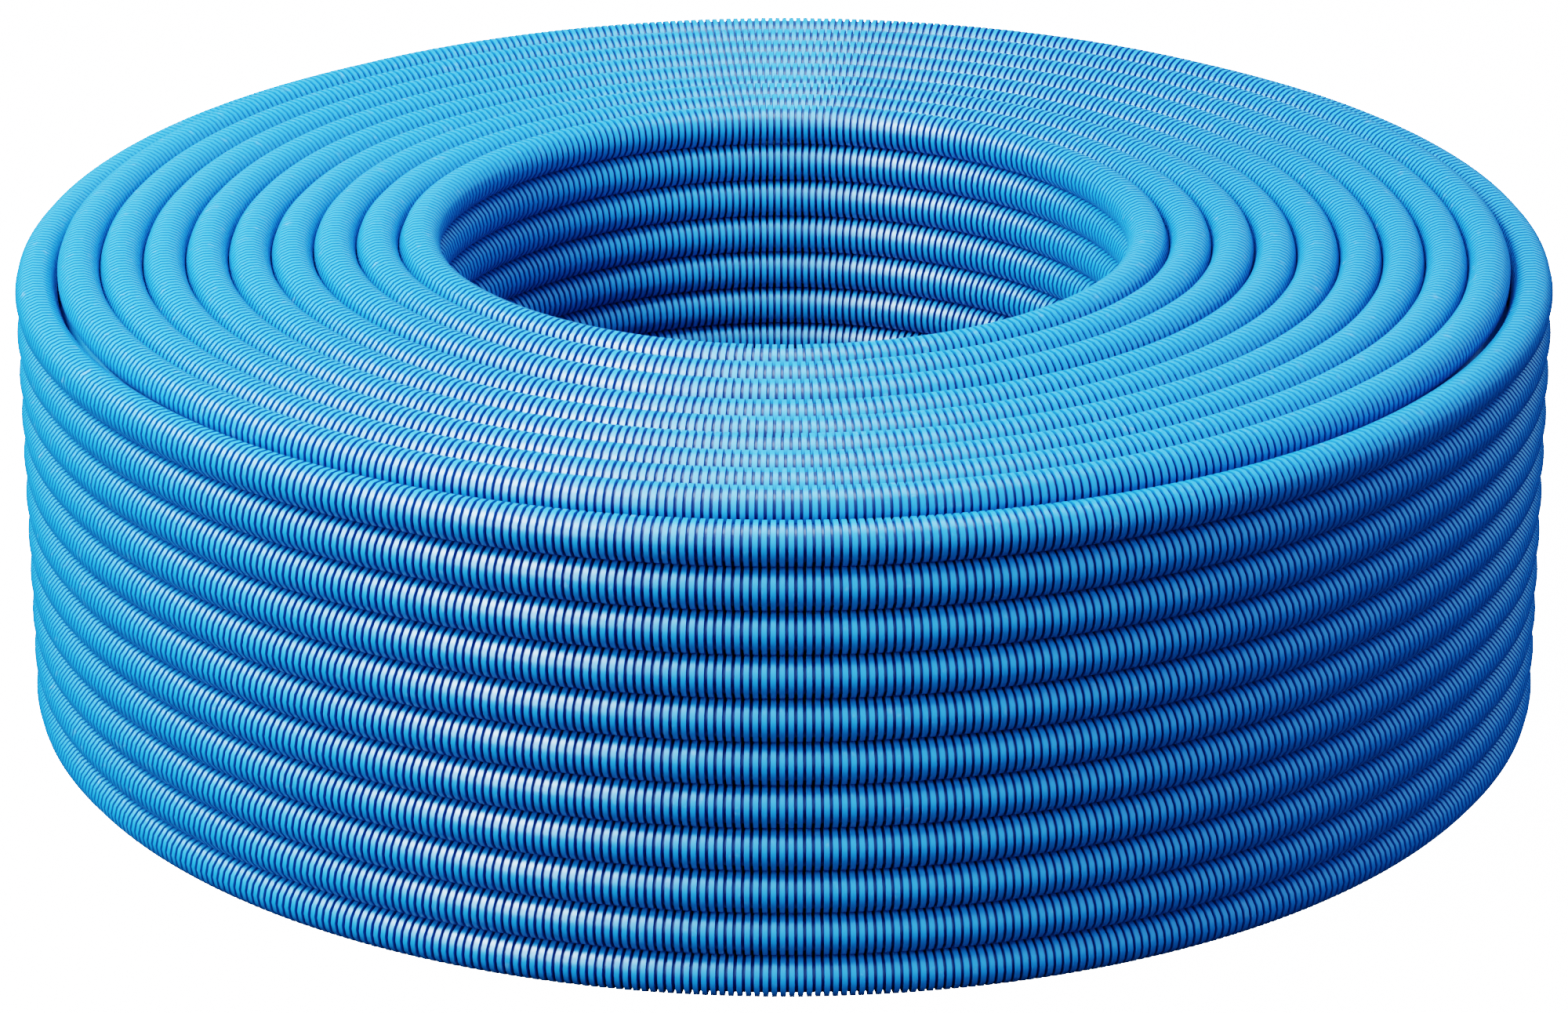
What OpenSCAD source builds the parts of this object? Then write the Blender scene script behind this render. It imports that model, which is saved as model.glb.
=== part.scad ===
// Pool vacuum hose in a bulk coil: one long corrugated hose wound in ten upright layers round an open
// core, with a fixed cuff on its inner end and a swivel cuff on its outer end.
// Millimetres, +Z up. The origin is on the floor, in the middle of the coil.

/* [Hose] */
// Outside diameter of the hose, over its ribs
hose_od = 38; // [37:0.5:39]
// Play between neighbouring turns
turn_gap = 0.4; // [0.3:0.1:0.8]
// How far the lowest turns are pressed flat by the weight on them
foot_flat = 0.3; // [0.1:0.1:0.4]

/* [Coil] */
// Radius to the middle of the innermost turns
core_r = 327.5; // [327:0.5:328]
// Turns on top of each other in the outermost layer
outer_rows = 11; // [6:1:14]
// Turns on top of each other in every other layer
inner_rows = 12; // [7:1:15]
// Height of one turn above another in those layers, where the weight presses the turns closer
inner_pitch = 35.85; // [35:0.05:37]
// How far the innermost layer's top turn stands above the level of the middle layers
core_rise = 6.2; // [0:0.2:8]

/* [Cuffs] */
// Bore of both sockets, a slip fit on a 38 mm tube
socket_bore = 38.1; // [37.5:0.1:39]
// Depth of both sockets
socket_depth = 45; // [30:1:48]
// Outside diameter of both cuffs
cuff_od = 50; // [48:1:51]
// Length of hose that is pushed into each cuff
hose_grip = 45; // [35:1:45]
// Clear bore through both cuffs
water_bore = 32; // [28:1:33]

/* [Swivel] */
// Diameter of the collar's spigot, on which the swivel cuff turns
spigot_od = 39; // [38:0.2:40]
// Radial clearance between the spigot and the swivel cuff
running_gap = 0.05; // [0.03:0.01:0.1]
// Length of the spigot
spigot_len = 17.2; // [16:0.2:20]

/* [Hidden] */

$fn = 96;
layers = 10;
turn_r = (hose_od - turn_gap) / 2;
foot_z = turn_r - foot_flat;
outer_top_z = foot_z + (outer_rows - 1) * hose_od;
level_top_z = foot_z + (inner_rows - 1) * inner_pitch;
rising_layers = 3;

hose_blue = [0.30, 0.66, 0.90];
layer_blue = [0.24, 0.58, 0.84];
cuff_blue = [0.07, 0.20, 0.42];
seal_black = [0.06, 0.06, 0.07];
spring_grey = [0.70, 0.71, 0.73];

// The hose lies on the floor from the innermost layer's lowest turn to the fixed cuff.
// The last point is the hose's end, at the stop inside the cuff.
inner_route = [
    [243, -219, 18.5], [210, -244, 18.5], [175, -263, 18.5], [140, -275, 18.5], [100, -284, 18.5],
    [60, -288, 18.5], [20, -287, 18.5], [-20, -280, 18.5], [-60, -264, 18.5], [-95, -240, 18.5],
    [-125, -208, 18.5], [-146, -171, 19.5], [-157, -131, 22], [-160, -90, 25], [-160, -45, 26],
    [-160, 0, 26]];

// The hose lies on the floor from the outermost layer's lowest turn to the swivel cuff's collar.
outer_route = [
    [647, 173, 18.5], [643, 196, 18.5], [638, 220, 18.5], [633, 243, 18.5], [627, 266, 18.5],
    [621, 290, 18.5], [614, 313, 18.5], [607, 337, 18.5], [599, 360, 18.5], [579, 405, 18.5],
    [553, 448, 18.5], [522, 487, 19], [490, 520, 21], [457, 553, 24.5], [423, 587, 26],
    [391, 619, 26]];

tail_sides = 10;
tail_r = foot_z - 0.1;

cuff_r = cuff_od / 2;
socket_r = socket_bore / 2;
grip_r = hose_od / 2 + 0.2;
water_r = water_bore / 2;
shoulder = 6;
lead_in = 2;
lead_in_r = socket_r + 1.2;
stop_z = hose_grip;

fixed_from = stop_z + shoulder;
fixed_len = fixed_from + socket_depth + lead_in;
grip_rings = 6;
ring_step = 9;

spigot_r = spigot_od / 2;
flange_from = stop_z - 4;
flange_to = stop_z + 4;
spigot_to = flange_to + spigot_len;
seal_z = flange_to + 5;
seal_section_r = 0.88;
seal_groove_r = spigot_r - 1.8;
snap_z = flange_to + 13.2;
snap_width = 2;
snap_seat_r = spigot_r - 1;
snap_r = spigot_r + 1.2;
cuff_from = flange_to + 0.3;
cuff_bore_r = spigot_r + running_gap;
throat_from = spigot_to + 0.3;
throat_to = throat_from + 3.5;
mouth_z = throat_to + socket_depth + lead_in;
flutes = 18;
flute_r = 3;

// Height of the middle of a layer's top turn
function layer_top(k) =
    k == layers ? outer_top_z
    : level_top_z + (k > rising_layers ? 0 : core_rise * (1 - 0.2 * (k - 1)));

function layer_r(k) = core_r + (k - 1) * hose_od;

function unit(v) = v / norm(v);

// Direction of a route at its point i
function heading(route, i) =
    unit(route[min(i + 1, len(route) - 1)] - route[max(i - 1, 0)]);

// One ring of a tube, square to the route
function tube_ring(route, i, r, sides) =
    let (along = heading(route, i))
    let (across = unit(cross([0, 0, 1], along)))
    let (up = cross(along, across))
    [for (s = [0:sides - 1])
        route[i] + r * (cos(360 * s / sides) * across + sin(360 * s / sides) * up)];

// A round tube along a route, closed at both ends
module tube_along(route, r, sides) {
    last = len(route) - 1;
    points = [for (i = [0:last]) each tube_ring(route, i, r, sides)];
    walls = [for (i = [0:last - 1], s = [0:sides - 1])
        [i * sides + s, (i + 1) * sides + s, (i + 1) * sides + (s + 1) % sides, i * sides + (s + 1) % sides]];
    first_end = [for (s = [0:sides - 1]) s];
    last_end = [for (s = [sides - 1:-1:0]) last * sides + s];
    polyhedron(points, concat(walls, [first_end, last_end]), convexity = 4);
}

// One upright layer of turns, as the closed shape that its turns fill
module coil_layer(k) {
    top_z = layer_top(k);
    color(k % 2 == 0 ? hose_blue : layer_blue)
    rotate_extrude()
    intersection() {
        translate([layer_r(k), 0])
        union() {
            translate([0, foot_z]) circle(turn_r);
            translate([0, top_z]) circle(turn_r);
            translate([-turn_r, foot_z]) square([2 * turn_r, top_z - foot_z]);
        }
        translate([layer_r(k) - hose_od, 0]) square([2 * hose_od, top_z + hose_od]);
    }
}

module inner_tail() {
    color(hose_blue) tube_along(inner_route, tail_r, tail_sides);
}

module outer_tail() {
    color(hose_blue) tube_along(outer_route, tail_r, tail_sides);
}

// Stands a piece that is turned about Z on the inner end of the hose, facing +Y
module at_inner_end() {
    translate([inner_route[15][0], inner_route[15][1] - stop_z, inner_route[15][2]])
    rotate([-90, 0, 0])
    children();
}

// Stands a piece that is turned about Z on the outer end of the hose, facing half way from -X to +Y
module at_outer_end() {
    translate(outer_route[15])
    rotate([0, 90, 135])
    translate([0, 0, -stop_z])
    children();
}

// A bore along Z between two heights
module bore(r, from, to) {
    translate([0, 0, from]) cylinder(h = to - from, r = r);
}

// Moulded cuff: the hose is glued in one end, and a tube or a fitting slips into the other
module fixed_cuff() {
    skirt_r = cuff_r - 2.6;
    body_r = cuff_r - 1;
    color(cuff_blue)
    at_inner_end()
    difference() {
        union() {
            cylinder(h = 10, r1 = skirt_r, r2 = body_r);
            bore(body_r, 10, fixed_len);
            bore(cuff_r, fixed_len - 12, fixed_len - 1);
            for (i = [0:grip_rings - 1]) {
                bore(cuff_r - 0.3, 16 + i * ring_step, 20 + i * ring_step);
            }
        }
        bore(grip_r, -1, stop_z);
        bore(water_r, stop_z - 1, fixed_from + 1);
        bore(socket_r, fixed_from, fixed_len + 1);
        translate([0, 0, fixed_len - lead_in]) cylinder(h = lead_in + 0.01, r1 = socket_r, r2 = lead_in_r);
    }
}

// Collar that is glued on the hose, with the spigot that the swivel cuff turns on
module hose_collar() {
    skirt_r = grip_r + 2.6;
    body_r = grip_r + 3.6;
    color(cuff_blue)
    at_outer_end()
    difference() {
        union() {
            cylinder(h = 8, r1 = skirt_r, r2 = body_r);
            bore(body_r, 8, flange_from);
            bore(cuff_r - 0.2, flange_from, flange_to);
            bore(spigot_r, flange_to, spigot_to);
            for (i = [0:2]) {
                bore(body_r + 0.8, 13 + i * 8, 17 + i * 8);
            }
        }
        bore(grip_r, -1, stop_z);
        bore(water_r, stop_z - 1, spigot_to + 1);
        difference() {
            bore(spigot_r + 1, seal_z - seal_section_r - 0.2, seal_z + seal_section_r + 0.2);
            bore(seal_groove_r, seal_z - 2, seal_z + 2);
        }
        difference() {
            bore(spigot_r + 1, snap_z - snap_width / 2 - 0.1, snap_z + snap_width / 2 + 0.1);
            bore(snap_seat_r, snap_z - 2, snap_z + 2);
        }
    }
}

// Rubber ring that seals the spigot in the swivel cuff
module seal_ring() {
    color(seal_black)
    at_outer_end()
    translate([0, 0, seal_z])
    rotate_extrude()
    translate([spigot_r - seal_section_r, 0])
    circle(seal_section_r);
}

// Split spring ring that keeps the swivel cuff on the spigot
module retaining_ring() {
    color(spring_grey)
    at_outer_end()
    translate([0, 0, snap_z - snap_width / 2])
    rotate_extrude(angle = 335)
    translate([snap_seat_r + 0.05, 0])
    square([snap_r - snap_seat_r - 0.05, snap_width]);
}

// Cuff that turns on the spigot without limit, with the socket for a vacuum head or a pump's port
module swivel_cuff() {
    color(cuff_blue)
    at_outer_end()
    difference() {
        union() {
            bore(cuff_r - 1, cuff_from, cuff_from + 1);
            bore(cuff_r, cuff_from + 1, mouth_z - 1);
            bore(cuff_r - 1, mouth_z - 1, mouth_z);
        }
        bore(cuff_bore_r, cuff_from - 1, throat_from);
        bore(snap_r + 0.2, snap_z - snap_width / 2 - 0.2, snap_z + snap_width / 2 + 0.2);
        bore(water_r + 0.2, throat_from - 1, throat_to + 1);
        bore(socket_r, throat_to, mouth_z + 1);
        translate([0, 0, mouth_z - lead_in]) cylinder(h = lead_in + 0.01, r1 = socket_r, r2 = lead_in_r);
        for (i = [0:flutes - 1]) {
            rotate([0, 0, i * 360 / flutes])
            translate([cuff_r + flute_r - 0.9, 0, cuff_from + 6])
            cylinder(h = mouth_z - cuff_from - 20, r = flute_r);
        }
    }
}

coil_layer(1);  // coil_layer_01
coil_layer(2);  // coil_layer_02
coil_layer(3);  // coil_layer_03
coil_layer(4);  // coil_layer_04
coil_layer(5);  // coil_layer_05
coil_layer(6);  // coil_layer_06
coil_layer(7);  // coil_layer_07
coil_layer(8);  // coil_layer_08
coil_layer(9);  // coil_layer_09
coil_layer(10);  // coil_layer_10
inner_tail();
outer_tail();
fixed_cuff();
hose_collar();
seal_ring();
retaining_ring();
swivel_cuff();
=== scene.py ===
"""A bulk coil of corrugated pool vacuum hose, wound in ten upright layers round an open core."""
import math

import bmesh
import bpy
import numpy as np
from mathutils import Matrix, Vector


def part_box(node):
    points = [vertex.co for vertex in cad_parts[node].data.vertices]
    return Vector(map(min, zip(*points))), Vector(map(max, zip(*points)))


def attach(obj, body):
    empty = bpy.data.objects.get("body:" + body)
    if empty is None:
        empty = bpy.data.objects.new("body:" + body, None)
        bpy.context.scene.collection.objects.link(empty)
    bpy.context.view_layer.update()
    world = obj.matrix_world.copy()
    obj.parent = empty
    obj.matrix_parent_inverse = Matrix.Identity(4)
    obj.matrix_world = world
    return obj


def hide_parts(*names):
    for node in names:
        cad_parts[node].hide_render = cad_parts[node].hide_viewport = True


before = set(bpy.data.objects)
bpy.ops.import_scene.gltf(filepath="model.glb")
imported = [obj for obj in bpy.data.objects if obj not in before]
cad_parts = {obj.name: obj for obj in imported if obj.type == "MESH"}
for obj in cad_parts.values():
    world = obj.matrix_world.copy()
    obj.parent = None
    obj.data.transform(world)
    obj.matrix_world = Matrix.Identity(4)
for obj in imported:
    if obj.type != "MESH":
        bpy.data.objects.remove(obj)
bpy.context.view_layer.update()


# --- Camera ---------------------------------------------------------------------------------------------
# A long lens above standing eye level, about four and a half metres in front of the coil's middle.
camera_distance = 4.653
camera_height = 2.050
camera_tilt = math.radians(22.13)
view = bpy.data.cameras.new("camera")
view.lens = 125.5
view.sensor_width = 36.0
view.clip_end = 200.0
camera = bpy.data.objects.new("camera", view)
camera.location = (0.0, -camera_distance, camera_height)
camera.rotation_euler = (math.pi / 2 - camera_tilt, 0.0, 0.0)
bpy.context.scene.collection.objects.link(camera)
bpy.context.scene.camera = camera


# --- Hose plastic ---------------------------------------------------------------------------------------
# Glossy light-blue polyethylene, blown into ribs while it is hot. Handling leaves paler, duller scuffs on
# the ribs' crests, and the colour drifts a little along the hose. The grooves are painted a much deeper
# blue than the crests: painted shade in the recesses.
class Link:
    """A node's output. Sums, differences and products of links add Math nodes."""

    def __init__(self, finish, socket):
        self.finish = finish
        self.socket = socket

    def __add__(self, other):
        return self.finish.node("ShaderNodeMath", {"operation": "ADD"}, {0: self, 1: other})

    def __mul__(self, other):
        return self.finish.node("ShaderNodeMath", {"operation": "MULTIPLY"}, {0: self, 1: other})

    def __rsub__(self, other):
        return self.finish.node("ShaderNodeMath", {"operation": "SUBTRACT"}, {0: other, 1: self})

    __radd__ = __add__
    __rmul__ = __mul__


class Finish:
    """A material with a Principled shader, and what is needed to lead patterns into it."""

    def __init__(self, name, **constants):
        self.material = bpy.data.materials.new(name)
        self.material.use_nodes = True
        self.nodes = self.material.node_tree.nodes
        self.shader = self.nodes["Principled BSDF"]
        for socket, value in constants.items():
            self.shader.inputs[socket.replace("_", " ")].default_value = value

    def node(self, kind, settings=None, sockets=None, out=0):
        """A node of that type, with its settings made first and then its sockets' values and links."""
        made = self.nodes.new(kind)
        for setting, value in (settings or {}).items():
            setattr(made, setting, value)
        for socket, value in (sockets or {}).items():
            if isinstance(value, Link):
                self.material.node_tree.links.new(value.socket, made.inputs[socket])
            else:
                made.inputs[socket].default_value = value
        return Link(self, made.outputs[out])

    def place(self):
        """Object coordinates, in metres."""
        return self.node("ShaderNodeTexCoord", out="Object")

    def noise(self, size, detail=3.0, roughness=0.5):
        """Noise from 0 to 1 whose patches are about that size, in metres."""
        sockets = {"Vector": self.place(), "Scale": 1.0 / size, "Detail": detail, "Roughness": roughness}
        return self.node("ShaderNodeTexNoise", {}, sockets)

    def between(self, value, low, high):
        """0 where the value is below low, 1 above high, smooth between."""
        return self.node(
            "ShaderNodeMapRange",
            {"interpolation_type": "SMOOTHSTEP"},
            {"Value": value, "From Min": low, "From Max": high},
        )

    def mix(self, amount, first, second):
        """The first colour where the amount is 0 and the second where it is 1."""
        return self.node("ShaderNodeMix", {"data_type": "RGBA"}, {0: amount, 6: first, 7: second}, out=2)

    def bump(self, height, depth):
        """A surface that stands out by that depth, in metres, where the height is 1."""
        return self.node("ShaderNodeBump", {}, {"Height": height, "Distance": depth, "Strength": 1.0})

    def lead(self, socket, link):
        """Leads a link into one of the shader's own sockets."""
        self.material.node_tree.links.new(link.socket, self.shader.inputs[socket])


def hose_plastic():
    """Blue polyethylene, with painted shade in the grooves: they are a much deeper blue than the crests."""
    finish = Finish("hose_plastic", Specular_IOR_Level=0.95, Specular_Tint=(0.80, 0.96, 1.0, 1.0))
    crest = finish.node("ShaderNodeAttribute", {"attribute_name": "crest"}, out="Fac")
    drift = finish.noise(0.30, detail=2.0)
    speck = finish.noise(0.0024, detail=2.0)
    scuff = finish.between(finish.noise(0.014, detail=5.0, roughness=0.7), 0.58, 0.74) * crest
    blue = finish.mix(drift, (0.0078, 0.155, 0.430, 1.0), (0.0104, 0.176, 0.470, 1.0))
    blue = finish.mix(0.08 * speck, blue, (0.0024, 0.069, 0.277, 1.0))
    blue = finish.mix(0.18 * scuff, blue, (0.290, 0.400, 0.620, 1.0))
    # The grooves take a much deeper blue than the crests: painted shade in the recesses between the ribs.
    finish.lead("Base Color", finish.mix(crest, (0.0008, 0.032, 0.190, 1.0), blue))
    finish.lead("Roughness", 0.37 + 0.06 * drift + 0.12 * scuff)
    ripple = 0.7 * finish.noise(0.009, detail=2.0) + 0.3 * speck
    finish.lead("Normal", finish.bump(ripple, 0.00008))
    return finish.material


hose_finish = hose_plastic()


# --- Hose -----------------------------------------------------------------------------------------------
# One continuous hose with ring-shaped ribs, blown from polyethylene. It is wound layer on layer from the
# core outwards, each layer rising from the floor to the top. The last layer comes down outside the others.
turn_r = 0.0188
rib_pitch = 0.007
rib_height = 0.0036
inner_rows = 12
outer_rows = 11
full_turn = 2 * math.pi

# Each rib's flat crest and each of its two sloping walls, as shares of the pitch.
crest_width = 0.58
wall_width = 0.07

# The middle of the turns that lie on the floor, on one flat facet of their outline.
foot_z = turn_r - 0.0003


def smooth_step(t):
    """0 below 0 and 1 above 1, with level ends."""
    return 0.5 - 0.5 * np.cos(np.pi * np.clip(t, 0.0, 1.0))


class Winding:
    """The line that one layer's turns follow, by the angle that they have run round the coil.

    Each turn is level, but for its last few ribs, in which it climbs to the next row. The last turn stays
    level to its end. All turns of a layer have the same number of ribs, so the ribs of one row stand over
    those of the row below.
    """

    step_ribs = 25
    points_each_turn = 96

    def __init__(self, layer, rows, start):
        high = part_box(f"coil_layer_{layer:02d}")[1]
        self.radius = high.x - turn_r
        self.top = high.z - turn_r
        self.rows = rows
        self.rise = (self.top - foot_z) / (rows - 1)
        self.rib_angle = full_turn / round(full_turn * self.radius / rib_pitch)
        self.step = self.step_ribs * self.rib_angle
        self.start = math.radians(start)
        self.end = self.start + full_turn * rows

    def line(self, angle):
        """Radius and height of the hose's middle at each angle."""
        turns = (angle - self.start) / full_turn
        row = np.clip(np.floor(turns), 0, self.rows - 1)
        climb = smooth_step(1.0 - (row + 1 - turns) * full_turn / self.step)
        height = np.minimum(row + climb, self.rows - 1)
        return np.full_like(angle, self.radius), foot_z + self.rise * height

    def points(self, first, last):
        """Points of the line between two angles."""
        steps = round((last - first) / full_turn * self.points_each_turn)
        angle = np.linspace(first, last, steps + 1)
        radius, height = self.line(angle)
        return np.stack([radius * np.cos(angle), radius * np.sin(angle), height], axis=1)

    def wind(self, straight, first, last):
        """Winds a straight hose round the coil, from one angle to another."""

        def place(part):
            angle = first + (last - first) * part
            radius, height = self.line(angle)
            out = np.stack([np.cos(angle), np.sin(angle), 0.0 * angle], axis=1)
            up = np.tile([0.0, 0.0, 1.0], (len(angle), 1))
            return radius[:, None] * out + height[:, None] * up, out, up

        return bent(straight, place)

    def ribbed(self, first, last, facing, spread):
        """Ribbed turns between two angles, with most of their facets on one face."""
        ribs = round((last - first) / self.rib_angle)
        return self.wind(ribbed_hose(ribs, facing, spread), first, last)


class OutermostWinding(Winding):
    """The line of the tenth layer, which steps downwards after each turn.

    Each lower step comes a little earlier in its turn than the step above it.
    """

    drift = math.radians(3.9)

    def line(self, angle):
        down = np.zeros_like(angle)
        for row in range(self.rows - 1):
            begin = self.start + full_turn + row * (full_turn - self.drift)
            down = down + smooth_step((angle - begin) / self.step)
        return np.full_like(angle, self.radius), self.top - self.rise * down


def ribbed_hose(ribs, facing, spread):
    """A straight hose along +X, one unit long for each rib.

    Nine of its facets share the spread on the face that is seen, and three share the rest.
    """
    seen, hidden = 9, 3
    rest = full_turn - spread
    angles = [facing - spread / 2 + spread * i / seen for i in range(seen)]
    angles += [facing + spread / 2 + rest * i / hidden for i in range(hidden)]
    groove_r = turn_r - rib_height
    groove = 1.0 - crest_width - 2 * wall_width
    rings = [
        (0.0, groove_r),
        (groove, groove_r),
        (groove + wall_width, turn_r),
        (1.0 - wall_width, turn_r),
        (1.0, groove_r),
    ]
    return straight_tube(ribs, angles, rings)


def plain_hose(units):
    """A straight eight-sided tube along +X for hidden turns, whose flat sides meet the turns beside it."""
    half_width = 0.01905
    half_side = math.radians(22.5)
    reach = half_width / math.cos(half_side)
    angles = [2 * half_side * i + half_side for i in range(8)]
    return straight_tube(units, angles, [(0.0, reach), (1.0, reach)])


def straight_tube(units, angles, rings):
    """An open tube along +X. Each ring is a place along a unit and a radius, and each unit repeats them."""
    shape = bmesh.new()
    loops = []
    for along, reach in rings:
        ring = bmesh.ops.create_circle(shape, segments=len(angles), radius=reach)["verts"]
        for vertex, angle in zip(ring, angles):
            vertex.co = (along, reach * math.cos(angle), reach * math.sin(angle))
        loops.append({edge for vertex in ring for edge in vertex.link_edges})
    for first, second in zip(loops, loops[1:]):
        bmesh.ops.bridge_loops(shape, edges=list(first | second))
    bmesh.ops.recalc_face_normals(shape, faces=shape.faces)
    unit = bpy.data.meshes.new("unit")
    shape.to_mesh(unit)
    shape.free()
    holder = bpy.data.objects.new("unit", unit)
    bpy.context.scene.collection.objects.link(holder)
    array = holder.modifiers.new("array", "ARRAY")
    array.use_relative_offset = False
    array.use_constant_offset = True
    array.constant_offset_displace = (1.0, 0.0, 0.0)
    array.count = units
    array.use_merge_vertices = True
    array.merge_threshold = 0.0001
    graph = bpy.context.evaluated_depsgraph_get()
    mesh = bpy.data.meshes.new_from_object(holder.evaluated_get(graph))
    bpy.data.objects.remove(holder)
    bpy.data.meshes.remove(unit)
    return mesh


def bent(mesh, place):
    """Bends a straight hose along a line, and marks which of its vertices are on the ribs' crests.

    place gives the line's middle and its outward and upward directions, by the part of the line, 0 to 1.
    """
    flat = np.empty(len(mesh.vertices) * 3, np.float32)
    mesh.vertices.foreach_get("co", flat)
    along, across, above = flat.reshape(-1, 3).astype(float).T
    middle, out, up = place(along / along.max())
    spot = middle + across[:, None] * out + above[:, None] * up
    mesh.vertices.foreach_set("co", spot.astype(np.float32).ravel())
    on_crest = np.hypot(across, above) > turn_r - rib_height / 2
    crest = mesh.attributes.new("crest", "FLOAT", "POINT")
    crest.data.foreach_set("value", on_crest.astype(np.float32))
    return mesh


def smooth_route(points):
    """A smooth line through given points, with its own points about one spacing apart."""
    spacing = 0.01
    points = np.array(points)
    line = []
    for i in range(len(points) - 1):
        before, here = points[max(i - 1, 0)], points[i]
        there, after = points[i + 1], points[min(i + 2, len(points) - 1)]
        steps = max(2, round(np.linalg.norm(there - here) / spacing))
        for t in np.arange(steps) / steps:
            straight = (there - before) * t
            square = (2 * before - 5 * here + 4 * there - after) * t**2
            cube = (3 * here - before - 3 * there + after) * t**3
            line.append(0.5 * (2 * here + straight + square + cube))
    return np.array(line + [points[-1]])


def tail(route):
    """The ribbed hose along a route on the floor."""
    line = smooth_route(route)
    gaps = np.linalg.norm(np.diff(line, axis=0), axis=1)
    run = np.concatenate([[0.0], np.cumsum(gaps)])
    slope = np.gradient(line, run, axis=0)

    def read(table, part):
        return np.stack([np.interp(part * run[-1], run, table[:, i]) for i in range(3)], axis=1)

    def unit(vectors):
        return vectors / np.linalg.norm(vectors, axis=1)[:, None]

    def place(part):
        forward = unit(read(slope, part))
        out = unit(np.cross(forward, [0.0, 0.0, 1.0]))
        return read(line, part), out, np.cross(out, forward)

    return bent(ribbed_hose(round(run[-1] / rib_pitch), upwards, face_spread), place)


def lay(name, meshes, nodes, points, **cord):
    sharp_edge = math.radians(60.0)
    shape = bmesh.new()
    for mesh in meshes:
        shape.from_mesh(mesh)
        bpy.data.meshes.remove(mesh)
    bmesh.ops.holes_fill(shape, edges=[edge for edge in shape.edges if edge.is_boundary])
    bmesh.ops.recalc_face_normals(shape, faces=shape.faces)
    for face in shape.faces:
        face.smooth = True
    whole = bpy.data.meshes.new(name)
    shape.to_mesh(whole)
    shape.free()
    whole.set_sharp_from_angle(angle=sharp_edge)
    whole.materials.append(hose_finish)
    hose = bpy.data.objects.new(name, whole)
    bpy.context.scene.collection.objects.link(hose)
    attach(hose, "hose")
    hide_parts(*nodes)


# The faces that are seen, by their angle round the hose. Those of the walls look slightly upwards.
lean = 0.26
outwards, upwards, inwards, downwards = lean, math.pi / 2, math.pi - lean, -math.pi / 2
wall_spread, face_spread = math.radians(240.0), math.radians(205.0)

# The innermost layer, in two lengths. The lower one comes from the fixed cuff, which lies in the core, and
# its tail joins the coil eighteen ribs into the first turn.
inner_route = [
    (0.243, -0.219, 0.0185), (0.210, -0.244, 0.0185), (0.175, -0.263, 0.0185), (0.140, -0.275, 0.0185),
    (0.100, -0.284, 0.0185), (0.060, -0.288, 0.0185), (0.020, -0.287, 0.0185), (-0.020, -0.280, 0.0185),
    (-0.060, -0.264, 0.0185), (-0.095, -0.240, 0.0185), (-0.125, -0.208, 0.0185), (-0.146, -0.171, 0.0195),
    (-0.157, -0.131, 0.0220), (-0.160, -0.090, 0.0250), (-0.160, -0.045, 0.0260), (-0.160, 0.000, 0.0260),
]
innermost = Winding(1, inner_rows, 296.0)
tail_joins = innermost.start + 18 * innermost.rib_angle
half_way = innermost.start + inner_rows / 2 * full_turn
lay(
    "hose_layer_01_lower",
    [tail(inner_route), innermost.ribbed(tail_joins, half_way, inwards, wall_spread)],
    ["coil_layer_01", "inner_tail"],
    np.concatenate(
        [innermost.points(tail_joins, half_way)[::-1], smooth_route(inner_route)[1:]]
    ),
    far_end="connector",
    with_pieces=["fixed_cuff"],
)
lay(
    "hose_layer_01_upper",
    [innermost.ribbed(half_way, innermost.end, inwards, wall_spread)],
    ["coil_layer_01"],
    innermost.points(half_way, innermost.end),
    far_end="object",
)

# The outermost layer, in four lengths from the top down. The last one leaves the coil fifteen degrees past
# the X axis and runs on to the swivel cuff.
outer_route = [
    (0.647, 0.173, 0.0185), (0.643, 0.196, 0.0185), (0.638, 0.220, 0.0185), (0.633, 0.243, 0.0185),
    (0.627, 0.266, 0.0185), (0.621, 0.290, 0.0185), (0.614, 0.313, 0.0185), (0.607, 0.337, 0.0185),
    (0.599, 0.360, 0.0185), (0.579, 0.405, 0.0185), (0.553, 0.448, 0.0185), (0.522, 0.487, 0.0190),
    (0.490, 0.520, 0.0210), (0.457, 0.553, 0.0245), (0.423, 0.587, 0.0260), (0.391, 0.619, 0.0260),
]
outermost = OutermostWinding(10, outer_rows, 94.0)
floor_ends = full_turn * outer_rows + math.radians(15.0)
for number, turns in enumerate((0, 3, 6), start=1):
    first = outermost.start + turns * full_turn
    last = first + 3 * full_turn
    lay(
        f"hose_layer_10_length_{number}",
        [outermost.ribbed(first, last, outwards, wall_spread)],
        ["coil_layer_10"],
        outermost.points(first, last),
        far_end="object",
    )
lay(
    "hose_layer_10_length_4",
    [outermost.ribbed(last, floor_ends, outwards, wall_spread), tail(outer_route)],
    ["coil_layer_10", "outer_tail"],
    np.concatenate([outermost.points(last, floor_ends), smooth_route(outer_route)[1:]]),
    far_end="connector",
    with_pieces=["hose_collar", "seal_ring", "retaining_ring", "swivel_cuff"],
)

# The layers between them show only their top turns, and their lowest turns from below. Each unit of plain
# hose spans about ten degrees.
plain_units = 360
for layer in range(2, 10):
    winding = Winding(layer, inner_rows, 94.0)
    lowest = winding.start + full_turn
    highest = winding.end - full_turn - winding.step
    lay(
        f"hose_layer_{layer:02d}",
        [
            winding.ribbed(winding.start, lowest, downwards, face_spread),
            winding.wind(plain_hose(plain_units), lowest, highest),
            winding.ribbed(highest, winding.end, upwards, face_spread),
        ],
        [f"coil_layer_{layer:02d}"],
        winding.points(winding.start, winding.end),
        far_end="object",
    )


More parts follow.
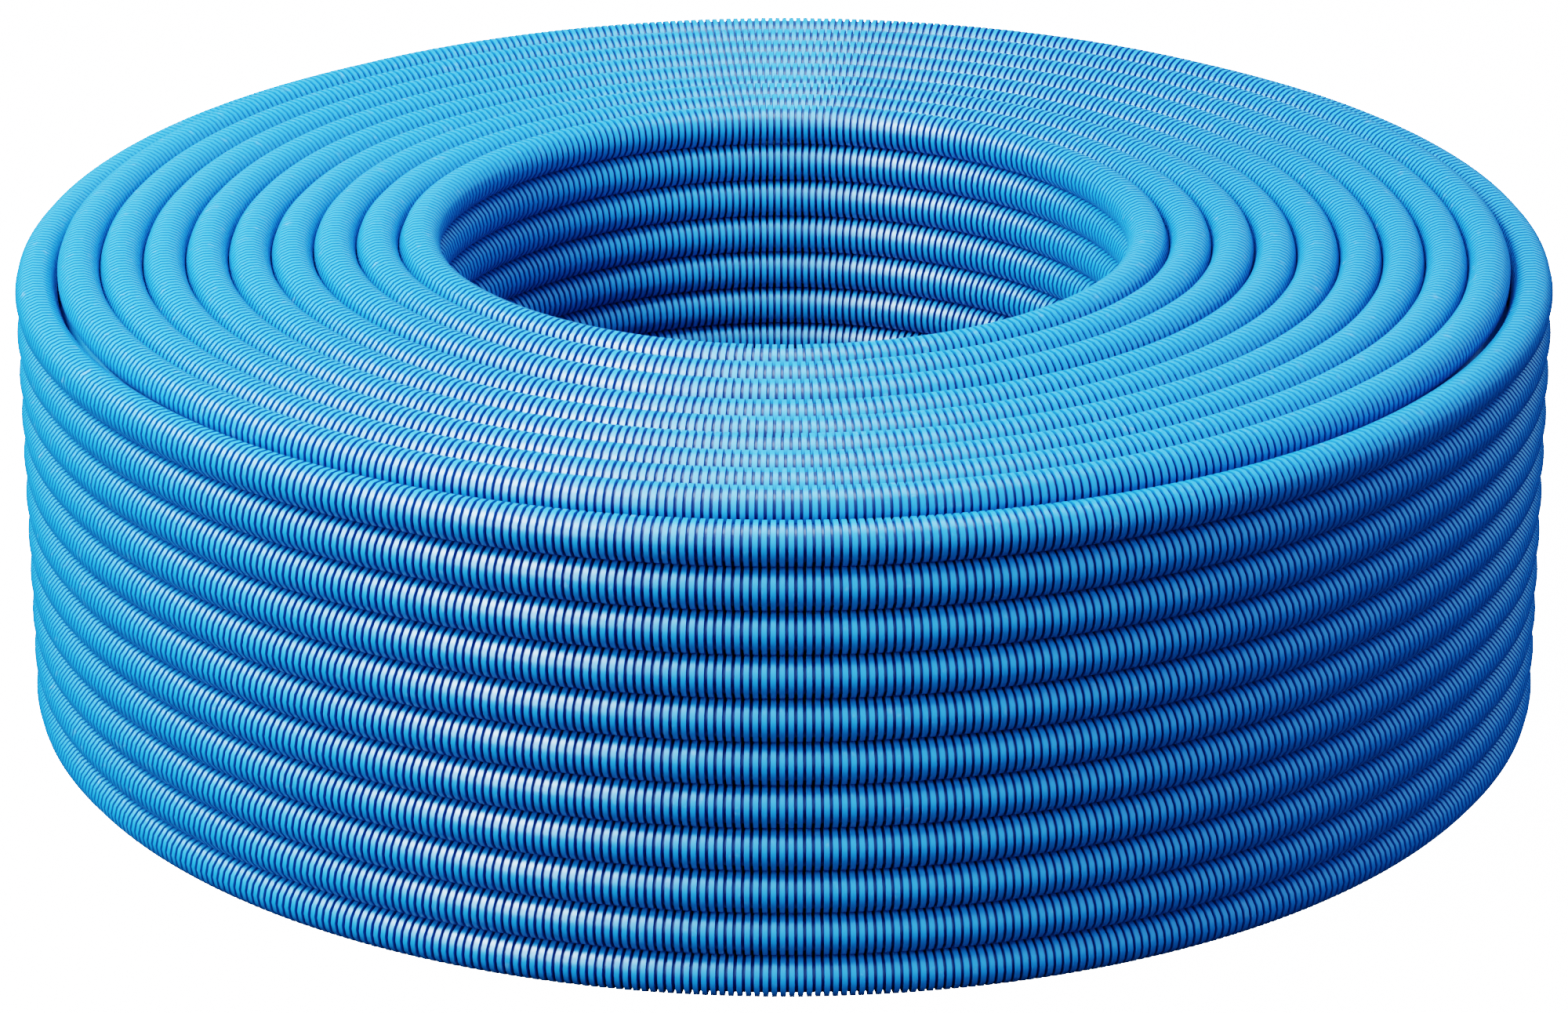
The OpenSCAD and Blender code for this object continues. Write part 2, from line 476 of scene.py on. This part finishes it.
# --- Cuffs and collar -----------------------------------------------------------------------------------
# Moulded from soft navy plastic. The fixed cuff is glued on the hose's inner end. The collar is glued on
# its outer end, and the swivel cuff turns on the collar's spigot.
def cuff_plastic():
    """Satin navy plastic with a fine moulded grain, rubbed paler in patches where it is gripped."""
    finish = Finish("cuff_plastic", IOR=1.48, Specular_IOR_Level=0.5)
    cloud = finish.noise(0.045, detail=3.0)
    grain = finish.noise(0.0011, detail=2.0)
    rub = finish.between(finish.noise(0.016, detail=6.0, roughness=0.68), 0.54, 0.72)
    navy = finish.mix(cloud, (0.008, 0.030, 0.110, 1.0), (0.014, 0.046, 0.150, 1.0))
    finish.lead("Base Color", finish.mix(0.35 * rub, navy, (0.060, 0.130, 0.280, 1.0)))
    finish.lead("Roughness", 0.40 + 0.10 * grain + 0.16 * rub)
    finish.lead("Normal", finish.bump(grain, 0.00012))
    return finish.material


def dress(names, material):
    """Gives CAD nodes a finish."""
    for name in names:
        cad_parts[name].data.materials.clear()
        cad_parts[name].data.materials.append(material)


dress(["fixed_cuff", "hose_collar", "swivel_cuff"], cuff_plastic())


# --- Seal ring ------------------------------------------------------------------------------------------
# A moulded rubber ring in the spigot's groove, which keeps air out of the swivel. A film of grease on it
# leaves it shiny in patches.
def seal_rubber():
    """Black rubber, part matt and part greased."""
    finish = Finish("seal_rubber", IOR=1.52)
    cloud = finish.noise(0.010, detail=3.0)
    grease = finish.between(finish.noise(0.006, detail=3.0), 0.42, 0.62)
    finish.lead("Base Color", finish.mix(cloud, (0.010, 0.010, 0.011, 1.0), (0.022, 0.022, 0.024, 1.0)))
    finish.lead("Roughness", 0.62 - 0.34 * grease)
    finish.lead("Normal", finish.bump(finish.noise(0.0008, detail=2.0), 0.00004))
    return finish.material


dress(["seal_ring"], seal_rubber())


# --- Retaining ring -------------------------------------------------------------------------------------
# A split ring of stainless spring wire, which snaps into the spigot's outer groove and keeps the swivel
# cuff on it.
def spring_steel():
    """Drawn stainless steel, with fine scratches and a little dulling."""
    finish = Finish("spring_steel", Metallic=1.0)
    dull = finish.noise(0.008, detail=4.0)
    scratch = finish.noise(0.0005, detail=3.0)
    finish.lead("Base Color", finish.mix(dull, (0.52, 0.53, 0.55, 1.0), (0.66, 0.67, 0.68, 1.0)))
    finish.lead("Roughness", 0.20 + 0.18 * dull + 0.08 * scratch)
    finish.lead("Normal", finish.bump(scratch, 0.00003))
    return finish.material


dress(["retaining_ring"], spring_steel())


# --- Studio ---------------------------------------------------------------------------------------------
# A pale floor, with a strong soft light from high on the front left, weaker ones from the left and from the
# front, and a wide one overhead.
floor_shape = bmesh.new()
bmesh.ops.create_grid(floor_shape, x_segments=1, y_segments=1, size=30.0)
floor_mesh = bpy.data.meshes.new("floor")
floor_shape.to_mesh(floor_mesh)
floor_shape.free()
floor_finish = Finish("floor_paint", Base_Color=(0.90, 0.90, 0.90, 1.0), Roughness=0.6)
floor_finish.shader.inputs["Emission Color"].default_value = (1.0, 1.0, 1.0, 1.0)
floor_finish.shader.inputs["Emission Strength"].default_value = 12.0
floor_mesh.materials.append(floor_finish.material)
floor = bpy.data.objects.new("floor", floor_mesh)
floor.location.z = -0.0005
floor.visible_diffuse = False
floor.visible_glossy = False
bpy.context.scene.collection.objects.link(floor)


def soft_light(name, place, side, power):
    """A square area light, that long on each side, which faces the middle of the coil."""
    lamp = bpy.data.lights.new(name, "AREA")
    lamp.size = side
    lamp.energy = power
    light = bpy.data.objects.new(name, lamp)
    light.location = place
    light.rotation_euler = (Vector((0.0, 0.0, 0.25)) - Vector(place)).to_track_quat("-Z", "Y").to_euler()
    bpy.context.scene.collection.objects.link(light)


soft_light("key_light", (-2.2, -1.6, 3.4), 1.2, 332.0)
soft_light("side_light", (-3.0, 0.3, 2.8), 1.2, 97.0)
soft_light("front_light", (-2.4, -3.0, 1.9), 1.5, 90.0)
soft_light("top_light", (0.0, 0.0, 4.0), 2.5, 106.0)

# The room's own light comes from above the floor only.
world = bpy.data.worlds.new("studio")
world.use_nodes = True
sky = world.node_tree.nodes
direction = sky.new("ShaderNodeTexCoord")
height = sky.new("ShaderNodeSeparateXYZ")
above = sky.new("ShaderNodeMapRange")
above.inputs["From Max"].default_value = 0.05
room = sky.new("ShaderNodeMix")
room.data_type = "RGBA"
room.inputs[6].default_value = (0.0, 0.0, 0.0, 1.0)
room.inputs[7].default_value = (0.50, 0.82, 1.16, 1.0)
for start, end in (
    (direction.outputs["Generated"], height.inputs[0]),
    (height.outputs["Z"], above.inputs["Value"]),
    (above.outputs["Result"], room.inputs[0]),
    (room.outputs[2], sky["Background"].inputs["Color"]),
):
    world.node_tree.links.new(start, end)
sky["Background"].inputs["Strength"].default_value = 1.19
bpy.context.scene.world = world
bpy.context.scene.view_settings.view_transform = "Filmic"
bpy.context.scene.view_settings.look = "High Contrast"
